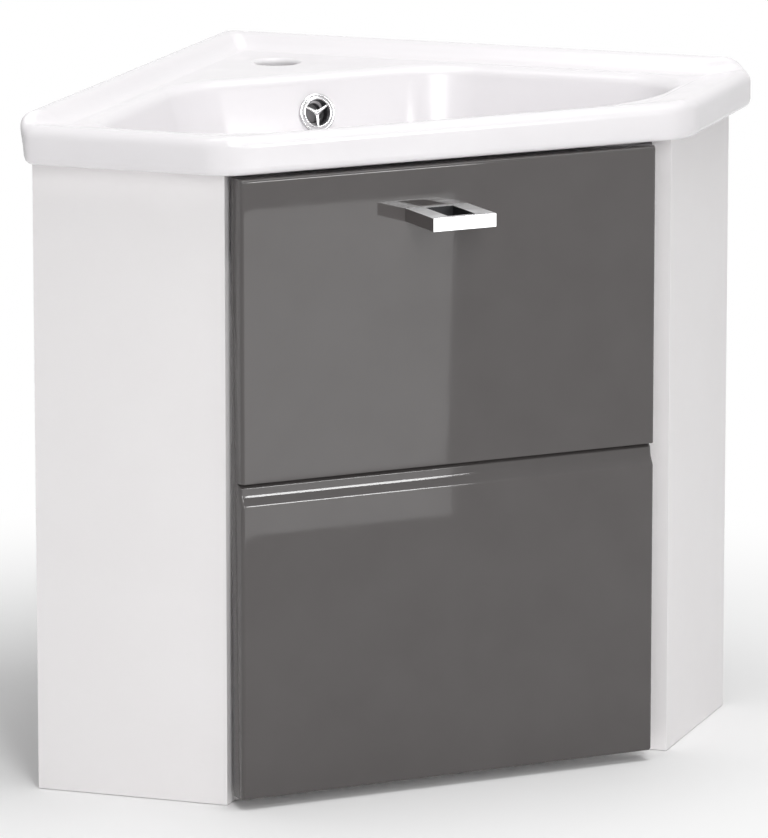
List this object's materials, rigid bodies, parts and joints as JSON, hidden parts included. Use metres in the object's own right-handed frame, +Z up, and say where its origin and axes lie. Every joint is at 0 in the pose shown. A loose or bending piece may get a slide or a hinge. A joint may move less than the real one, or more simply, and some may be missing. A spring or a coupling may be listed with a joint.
{
  "type": "corner vanity unit",
  "caption": "Corner vanity unit: white ceramic corner basin on a white five-sided cabinet with one glossy grey door, a finger groove and a flat chrome handle.",
  "frame": {"origin": "middle of the whole unit's box, on the plane of the cabinet's underside", "axes": "-Y is the way that the door looks, +Y points into the room corner, +Z is up, +X is to the right seen from the front"},
  "size_m": [0.626, 0.4854, 0.531],
  "materials": {
    "ceramic": "glossy white glaze",
    "white_board": "smooth satin white melamine coating on chipboard",
    "door_foil": "high-gloss dark grey foil on fibreboard",
    "chrome": "polished",
    "steel": "nickel plated",
    "beech": "plain beech"
  },
  "bodies": {
    "cabinet": {"basin": "ceramic", "overflow_ring": "chrome", "side_panel_left": "white_board", "side_panel_right": "white_board", "bottom_panel": "white_board", "upper_wall_rail_left": "white_board", "upper_wall_rail_right": "white_board", "lower_wall_rail_left": "white_board", "lower_wall_rail_right": "white_board", "cam_locks": "steel", "cam_bolts": "steel", "dowels": "beech", "wall_hanger_left": "steel", "wall_hanger_right": "steel", "hanger_screws": "steel", "hinge_plate_upper": "steel", "hinge_plate_lower": "steel", "hinge_plate_screws": "steel", "hinge_arm_upper": "steel", "hinge_arm_lower": "steel", "hinge_arm_screws": "steel"},
    "door": {"door_panel": "door_foil", "handle": "chrome", "handle_screws": "steel", "hinge_cup_upper": "steel", "hinge_cup_lower": "steel", "hinge_pin_upper": "steel", "hinge_pin_lower": "steel", "hinge_cup_screws": "steel"}
  },
  "joints": [
    {"name": "door_hinge", "type": "hinge", "parent": "cabinet", "child": "door", "pos_m": [-0.1735, -0.18221, 0.2485], "axis": [0, 0, 1], "range_deg": [-95, 0]}
  ]
}
